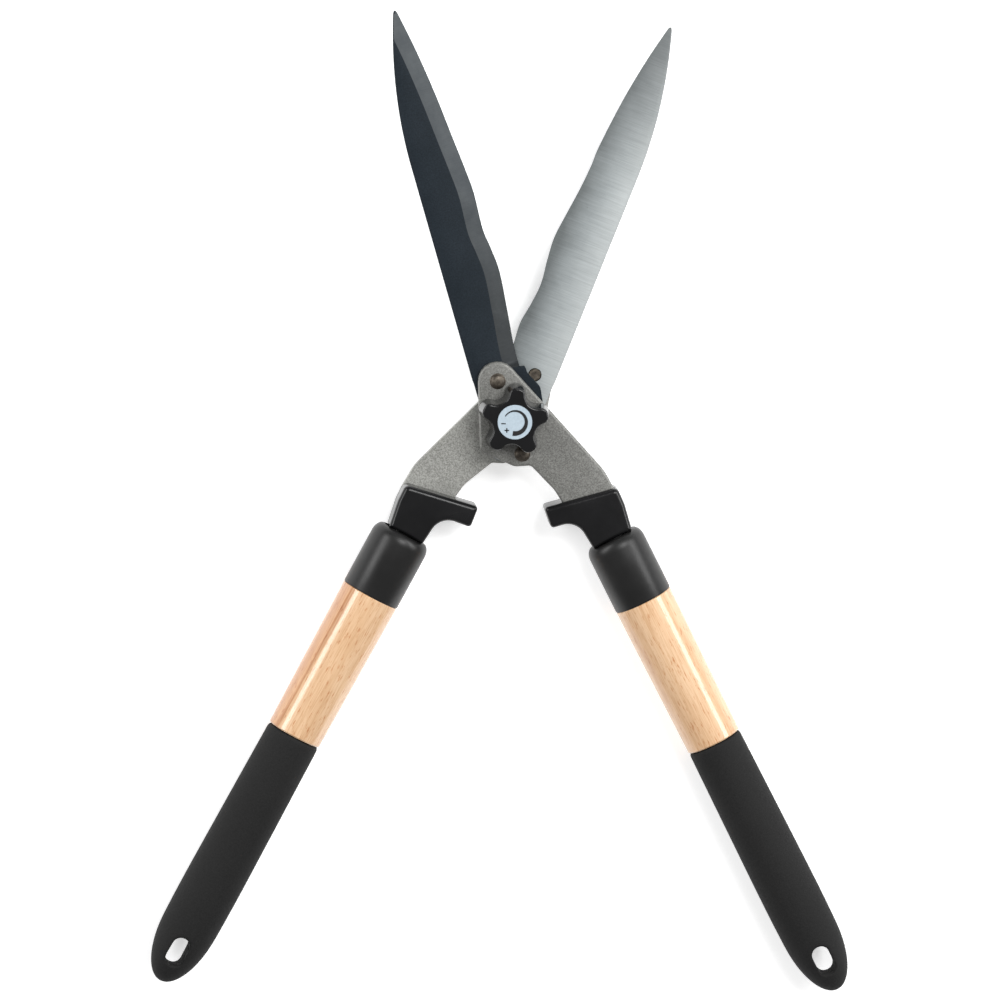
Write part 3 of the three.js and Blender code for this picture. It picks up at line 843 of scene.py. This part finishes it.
def hole_cutters(rivets, bolt):
    """Upright cylinders for the rivets and the bolt, each at its x and y."""
    cutters = []
    holes = [*((rivet, RIVET_HOLE) for rivet in rivets), (bolt, BOLT_HOLE)]
    for (centre_x, centre_y), radius in holes:
        vertices, faces = lathe([(-20, radius), (20, radius)], 48)
        vertices = [(centre_x + x, centre_y + z, y) for x, y, z in vertices]
        cutters.append(cutter_from(vertices, faces))
    return cutters


# ---------- tangs ----------

def round_end_corner(first, second, centre, radius):
    """The corner where two tangents of a circle meet, one from each of two points beside it."""
    def tangent(point, turn):
        to_centre = Vector(centre) - Vector(point)
        angle = turn * math.asin(radius / to_centre.length)
        c, s = math.cos(angle), math.sin(angle)
        return Vector((to_centre.x * c - to_centre.y * s, to_centre.x * s + to_centre.y * c))

    p, q = Vector(first), Vector(second)
    u, v = tangent(p, 1), tangent(q, -1)
    meet = p + u * ((q - p).cross(v) / u.cross(v))
    return meet.x, meet.y, radius


def tang_corners(half):
    """The tang's outline as [x, y, radius] corners: outer side, round end, inner side and arm."""
    offset = half["handle_offset"]
    outer = [(12.3 + offset, 59.5, 0), (11.9 + offset, 46, 30)]
    inner = [(*beside_blade(half, -11.5, -6.5), 4), (*beside_blade(half, -24.5, 8.5), 8)]
    centre = beside_blade(half, *half["upper_rivet"])
    end = round_end_corner(outer[1][:2], inner[0][:2], centre, TANG_END_RADIUS)
    tail = TAIL["half_width"]
    arm = [
        (-2.6, 26.3, 3), (offset - 16, 43, 20), (offset - 14.7, 54, 0), (offset - tail, 56, 0),
        (offset - tail, 59, 0), (offset + tail, 59, 0), (offset + tail, 58.4, 0),
    ]
    return [*outer, end, *inner, *arm]


def tail_mesh(half):
    """The step and the tail that run down inside the handle."""
    step_length, step_shift, tip = 16, 2, 1
    half_thickness = TAIL["half_thickness"]
    profile = [
        (TAIL["start"], -TANG_INNER),
        (TAIL["step"], -TANG_INNER),
        (TAIL["step"] + step_length, half_thickness),
        (TAIL["taper"], half_thickness),
        (TAIL["end"], tip),
        (TAIL["end"], -tip),
        (TAIL["taper"], -half_thickness),
        (TAIL["step"] + step_shift + step_length, -half_thickness),
        (TAIL["step"] + step_shift, -TANG_OUTER),
        (TAIL["start"], -TANG_OUTER),
    ]
    vertices = []
    for side in (-1, 1):
        x = half["handle_offset"] + side * (TAIL["half_width"] - 0.02)
        vertices += [(x, along, height) for along, height in profile]
    count = len(profile)
    faces = [tuple(range(count)), tuple(range(count, 2 * count))]
    faces += [(i, (i + 1) % count, count + (i + 1) % count, count + i) for i in range(count)]
    return vertices, faces


def make_tang(name, half):
    """A flat tang with rounded rims, its holes, and the tail inside the handle."""
    rings = rounded_rings(-TANG_OUTER, -TANG_INNER, 1.25, 0.5)
    vertices, faces = prism(tang_corners(half), rings)
    piece = add_mesh(name, vertices, faces, half_matrix(half), half["body"], [name])
    rivets = [beside_blade(half, *place) for place in (half["upper_rivet"], LOWER_RIVET)]
    cut(piece, hole_cutters(rivets, (0, 0)))
    join_mesh(piece, *tail_mesh(half))
    dress(piece, name.split("_")[0] + "_paint")


def make_rivet(name, half, place):
    """A rivet with a low domed head on the tang and a flush end in the blade's inner face."""
    shank, dome_base, dome_height = 3.2, 0.22, 1.43
    head = TANG_OUTER + 0.02
    profile = [(BLADE_INNER, ON_AXIS), (BLADE_INNER, shank - 0.3), (BLADE_INNER + 0.3, shank), (head, shank)]
    profile += [(head, 4.15), (head + dome_base, 3.95)]
    profile += arc((head + dome_base, 0), (dome_height, 3.7), 88, 4, 14)
    profile.append((head + dome_base + dome_height, ON_AXIS))
    x, y = beside_blade(half, *place)
    vertices, faces = lathe(profile, 64)
    vertices = [(a + x, c + y, -b) for a, b, c in vertices]
    piece = add_mesh(name, vertices, faces, half_matrix(half), half["body"], [name], 40)
    dress(piece, "rivet")


# ---------- handles ----------

def bumper_corners(half):
    """The bumper's outline in the handle's frame, with a lug that reaches the other half's when closed."""
    b, width = BUMPER, half["bumper"]
    slope = math.tan(math.radians(half["handle_angle"] - STOP_ANGLE))

    def lug(along):
        """The sloping face on which the lug stops."""
        return -half["handle_offset"] - along * slope

    return [
        (lug(b["lug_top"]), b["lug_top"], 1.8),
        (width["outer"], b["outer_top"], 3),
        (width["outer"] - 0.4, 66, 12),
        (width["neck_outer"], b["end"], 0.4),
        (-width["neck_inner"], b["end"], 0.4),
        (-width["neck_inner"] - 1.4, 62.6, 10),
        (lug(b["lug_bottom"]), b["lug_bottom"], 1.9),
    ]


def make_bumper(name, half):
    """The plastic block, with a pocket for the tang and a spigot for the ferrule."""
    depth = BUMPER["half_depth"]
    rings = rounded_rings(-depth, depth, BUMPER_ROUNDING, BUMPER_ROUNDING, 6)
    vertices, faces = prism(bumper_corners(half), rings, 10)
    piece = add_mesh(name, vertices, faces, handle_matrix(half), half["body"], [name])
    clearance = 0.3
    pocket = [(-15.2, 44, 0), (-15.2, 54.6, 0), (12.6, 59.9, 0), (12.6, 44, 0)]
    pocket_rings = [(0, -TANG_OUTER - clearance), (0, -TANG_INNER + clearance)]
    cut(piece, [cutter_from(*prism(pocket, pocket_rings, 1))])
    join_mesh(piece, *lathe([(SPIGOT["start"], SPIGOT["radius"]), (SPIGOT["end"], SPIGOT["radius"])], 64))
    dress(piece, "gloss")


def make_ferrule(name, half):
    """A cup with a rounded mouth and an eased rim."""
    f = FERRULE
    profile = [(f["start"] + 0.3, f["mouth"] - 0.2), (f["start"], f["mouth"] + 0.2)]
    profile += arc((f["start"] + 6, f["radius"] - 3.8), (6, 3.8), 180, 90, 12)
    profile += [
        (f["end"] - 0.5, f["radius"]), (f["end"] - 0.15, f["radius"] - 0.15), (f["end"], f["radius"] - 0.5),
        (f["end"], f["bore"]), (f["floor"], f["bore"]), (f["floor"], f["mouth"] - 0.2),
    ]
    vertices, faces = closed_lathe(profile)
    piece = add_mesh(name, vertices, faces, handle_matrix(half), half["body"], [name])
    dress(piece, "satin")


def make_wood(name, half, shift):
    """The turned handle: a tenon in the ferrule, a slight taper and a thinner core in the grip."""
    w = WOOD
    tenon_start, shoulder = FERRULE["floor"] + 0.3, FERRULE["end"] + 0.1
    taper_start, taper_length = FERRULE["end"] + 0.5, w["end"] - FERRULE["end"] - 1.1
    profile = [
        (tenon_start, ON_AXIS), (tenon_start, w["tenon"]), (shoulder, w["tenon"]),
        (shoulder, w["radius"] - 0.35), (taper_start, w["radius"]),
    ]
    for i in range(1, 9):
        radius = w["radius"] + (w["end_radius"] - w["radius"]) * i / 8
        profile.append((taper_start + taper_length * i / 8, radius))
    profile += [
        (w["end"], w["end_radius"] - 0.5), (w["end"], w["core"]), (w["core_end"], w["core"]),
        (w["core_end"], ON_AXIS),
    ]
    vertices, faces = lathe(profile, 128)
    piece = add_mesh(name, vertices, faces, handle_matrix(half), half["body"], [name])
    piece.data.materials.clear()
    piece.data.materials.append(varnished_wood(shift, half["side"] == "left"))


def make_grip(name, half):
    """The rubber sleeve, with a soft lip, a slight belly, a round end and a hanging hole."""
    g = GRIP
    bore = WOOD["core"] + 0.25
    belly = [
        (g["start"] + 1.2, g["top"]), (g["start"] + 50, g["top"] + 0.5), (g["end"] - 56, g["belly"]),
        (g["end"] - g["round_end"], g["belly"] - 0.2),
    ]
    profile = [(g["start"], ON_AXIS), (g["start"], g["lip"] - 0.5), (g["start"] + 0.4, g["lip"])]
    profile += catmull_rom(belly, 8)
    profile += arc((g["end"] - g["round_end"], 0), (g["round_end"], g["belly"] - 0.25), 88, 2, 26)
    profile.append((g["end"], ON_AXIS))
    vertices, faces = lathe(profile)
    piece = add_mesh(name, vertices, faces, handle_matrix(half), half["body"], [name], 60)
    core = lathe([(g["start"] - 5, bore), (WOOD["core_end"] + 0.3, bore)], 64)
    radius = HOLE["width"] / 2
    ends = ((-1, 1), (1, 1), (1, -1), (-1, -1))
    oval = [(x * radius, HOLE["centre"] + y * HOLE["length"] / 2, radius - 0.01) for x, y in ends]
    hole = prism(oval, [(0, -30), (0, 30)], 16)
    cut(piece, [cutter_from(*core), cutter_from(*hole)], 60)
    remesh = piece.modifiers.new("remesh", "REMESH")
    remesh.mode = "VOXEL"
    remesh.voxel_size = 0.8 * MM
    ease = piece.modifiers.new("ease", "SMOOTH")
    ease.factor = 0.5
    ease.iterations = 8
    apply_modifiers(piece, 180)
    dress(piece, "rubber")


# ---------- pivot ----------

def make_bolt():
    """The bolt: a flat head with a rounded rim, and a shank with a chamfered end."""
    head_radius, shank, shank_end, end = 11.0, 5.0, 34.0, 36.6
    head = mid_height - TANG_OUTER - 0.3
    profile = [(0.0, ON_AXIS), (0.0, 8.6), *arc((1.5, 9.3), (1.5, 1.7), 180, 90, 8)]
    profile += [(head, head_radius), (head, shank), (shank_end, shank), (end, shank - 0.8), (end, ON_AXIS)]
    vertices, faces = lathe_on_pivot(profile)
    piece = add_mesh("pivot_bolt", vertices, faces, PIVOT, "back_half", ["pivot_bolt"])
    dress(piece, "plated")


def make_washer(name, body, inner, outer, thickness, rise):
    """A washer with eased rims, whose inner rim stands higher by the rise."""
    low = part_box(name)[0].z / MM
    ease = 0.2
    profile = [
        (low + rise, inner + ease), (low, outer - ease), (low + ease, outer), (low + thickness - ease, outer),
        (low + thickness, outer - ease), (low + thickness + rise, inner + ease),
        (low + thickness + rise - ease, inner), (low + rise + ease, inner),
    ]
    vertices, faces = closed_lathe(profile)
    vertices = [(x, -z, y) for x, y, z in vertices]
    piece = add_mesh(name, vertices, faces, PIVOT, body, [name])
    dress(piece, "plated")


def star_corners():
    """The knob's outline: two corners on each lobe and one in each valley."""
    tip_ease, valley_ease = 4.7, 5.6
    corners = []
    for lobe in range(KNOB["lobes"]):
        middle = KNOB["first"] + lobe * 360 / KNOB["lobes"]
        for radius, angle, ease in (
            (KNOB["tip"], middle - KNOB["half_lobe"], tip_ease),
            (KNOB["tip"], middle + KNOB["half_lobe"], tip_ease),
            (KNOB["valley"], middle + 180 / KNOB["lobes"], valley_ease),
        ):
            a = math.radians(angle)
            corners.append((radius * math.cos(a), radius * math.sin(a), ease))
    return corners


def make_knob():
    """The knob: drafted walls, a rounded upper rim, and recesses for the washer, the nut and the label."""
    steps, draft, rim, foot = 6, KNOB["draft"], KNOB["rim"], 0.7
    rings = [(0.5, knob_low), (0.12, knob_low + 0.25), (0, knob_low + foot)]
    wall = knob_high - knob_low - rim - foot
    for i in range(1, steps + 1):
        rings.append((draft * (i / steps), knob_low + foot + wall * (i / steps)))
    for i in range(1, steps + 1):
        angle = math.pi / 2 * i / steps
        rings.append((draft + rim * (1 - math.cos(angle)), knob_high - rim * (1 - math.sin(angle))))
    vertices, faces = prism(star_corners(), rings, 12)
    piece = add_mesh("star_knob", vertices, faces, PIVOT, "knob", ["star_knob"])
    low, seat, bolt_top = knob_low - 1, knob_low + 2.2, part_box("pivot_bolt")[1].z / MM + 0.3
    recess, nut = 10.3, 10.1
    hollow = [(low, ON_AXIS), (low, recess), (seat, recess), (seat, BOLT_HOLE), (bolt_top, BOLT_HOLE)]
    label = LABEL_RADIUS + 0.25
    solids = [
        lathe_on_pivot([*hollow, (bolt_top, ON_AXIS)]),
        lathe_on_pivot([(label_low - 0.2, label), (knob_high + 1, label)]),
        lathe_on_pivot([(seat - 0.5, nut), (seat + 8.6, nut)], 6),
    ]
    cut(piece, [cutter_from(*solid) for solid in solids])
    dress(piece, "knob")


def make_label():
    """The label's disc, just below the knob's top, with its mark."""
    low, high, radius = label_low, knob_high - 0.12, LABEL_RADIUS
    profile = [(low, ON_AXIS), (low, radius), (high - 0.1, radius), (high, radius - 0.12), (high, ON_AXIS)]
    vertices, faces = lathe_on_pivot(profile)
    piece = add_mesh("knob_label", vertices, faces, PIVOT, "knob", ["knob_label"])
    dress(piece, "label")
    make_mark(high)


def flat_shape(points, low, high):
    """A thin upright solid from an outline."""
    vertices = [(x, y, low) for x, y in points] + [(x, y, high) for x, y in points]
    count = len(points)
    faces = [tuple(range(count)), tuple(range(count, 2 * count))]
    faces += [(i, (i + 1) % count, count + (i + 1) % count, count + i) for i in range(count)]
    return vertices, faces


def crescent():
    """An outline that swells as it bends round the label."""
    steps, middle, start, sweep = 40, 5.9, 150, 250
    outer, inner = [], []
    for i in range(steps + 1):
        angle = math.radians(start - sweep * i / steps)
        half_width = 0.25 + 1.05 * i / steps
        for line, radius in ((outer, middle + half_width), (inner, middle - half_width)):
            line.append((radius * math.cos(angle), radius * math.sin(angle)))
    return outer + inner[::-1]


def bar(at_angle, turn):
    """The outline of a short bar, at an angle round the label."""
    place, half_length, half_width = 6, 1.2, 0.3
    x, y = place * math.cos(at_angle), place * math.sin(at_angle)
    c, s = math.cos(turn), math.sin(turn)
    return [
        (x + c * half_length * a - s * half_width * b, y + s * half_length * a + c * half_width * b)
        for a, b in ((-1, -1), (1, -1), (1, 1), (-1, 1))
    ]


def make_mark(top):
    """A generic adjuster's mark: a crescent that swells from a minus sign to a plus sign."""
    low, high = top - 0.05, top + 0.05
    minus, plus = math.radians(188), math.radians(226)
    shapes = [crescent(), bar(minus, 0), bar(plus, 0), bar(plus, math.pi / 2)]
    vertices, faces = [], []
    for points in shapes:
        v, f = flat_shape(points, low, high)
        faces += [tuple(i + len(vertices) for i in face) for face in f]
        vertices += v
    piece = add_mesh("label_mark", vertices, faces, PIVOT, "knob", ())
    dress(piece, "ink")


# ---------- the shears ----------

for shift, (half_name, half) in enumerate(HALVES.items()):
    side = half["side"]
    make_blade(half_name + "_blade", half)
    make_tang(half_name + "_tang", half)
    make_rivet(half_name + "_rivet_upper", half, half["upper_rivet"])
    make_rivet(half_name + "_rivet_lower", half, LOWER_RIVET)
    make_bumper(side + "_bumper", half)
    make_ferrule(side + "_ferrule", half)
    make_wood(side + "_handle", half, shift + 1)
    make_grip(side + "_grip", half)
make_bolt()
make_washer("flat_washer", "back_half", 5.4, 11, 1.6, 0)
make_washer("spring_washer", "knob_seat", 5.5, 9.9, 0.85, 0.95)
make_knob()
make_label()
nut = frame["nodes"]["knob_nut"]
nut.data.materials.clear()
nut.data.materials.append(MATERIALS["plated"])


# ---------- stage ----------

def floor():
    """A large white floor just below the shears."""
    mesh = bpy.data.meshes.new("floor")
    size, gap = 6.0, 0.0006
    corners = [(-size, -size, 0), (size, -size, 0), (size, size, 0), (-size, size, 0)]
    mesh.from_pydata(corners, [], [(0, 1, 2, 3)])
    piece = bpy.data.objects.new("floor", mesh)
    bpy.context.scene.collection.objects.link(piece)
    piece.location.z = cad_box[0].z - gap
    paint = Paint("floor_paint", (0.9, 0.9, 0.9), 0.9, specular=0.2)
    paint.set("Emission Color", (1, 1, 1, 1))
    paint.set("Emission Strength", 0.5)
    mesh.materials.append(paint.material)


def area_light(name, place, aim, size, power):
    """A rectangular light at a place, turned to face the aim."""
    data = bpy.data.lights.new(name, "AREA")
    data.shape = "RECTANGLE"
    data.size, data.size_y = size
    data.energy = power
    light = bpy.data.objects.new(name, data)
    bpy.context.scene.collection.objects.link(light)
    light.location = place
    light.rotation_mode = "QUATERNION"
    light.rotation_quaternion = (Vector(aim) - Vector(place)).to_track_quat("-Z", "Y")


def lights():
    """A soft white surrounding, a long box on each side and one above."""
    world = bpy.data.worlds.new("studio")
    world.use_nodes = True
    background = world.node_tree.nodes["Background"]
    background.inputs["Color"].default_value = (1, 1, 1, 1)
    background.inputs["Strength"].default_value = 0.35
    bpy.context.scene.world = world
    area_light("right_box", (1.12, 0.35, 0.72), (0.05, -0.08, 0), (1.1, 0.42), 12)
    area_light("left_box", (-1.12, 0.35, 0.72), (-0.05, -0.08, 0), (1.1, 0.42), 11)
    area_light("top_box", (0.5, 0.7, 1.5), (0, 0, 0), (0.7, 0.7), 17)


def camera():
    """A long lens straight above, tilted a little so that the knob's top shifts down and to the right."""
    distance, field = 8.0, 0.520
    shift_right, shift_down = 0.060, 0.114
    roll = math.radians(1.1)
    aim_right, aim_up = 0.00624, 0.04316
    c, s = math.cos(roll), math.sin(roll)
    right_axis, up_axis = Vector((c, s, 0)), Vector((-s, c, 0))
    back = (-shift_right * right_axis + shift_down * up_axis + Vector((0, 0, 1))).normalized()
    up = (up_axis - up_axis.dot(back) * back).normalized()
    right = up.cross(back)
    data = bpy.data.cameras.new("camera")
    data.lens = data.sensor_width * distance / field
    data.clip_end = 40
    piece = bpy.data.objects.new("camera", data)
    bpy.context.scene.collection.objects.link(piece)
    pivot = Vector((0, 0, mid_height * MM))
    place = pivot + back * distance - right * aim_right - up * aim_up
    turn = Matrix((right, up, back)).transposed().to_4x4()
    piece.matrix_world = Matrix.Translation(place) @ turn
    bpy.context.scene.camera = piece


floor()
lights()
camera()
bpy.context.scene.view_settings.view_transform = "Standard"
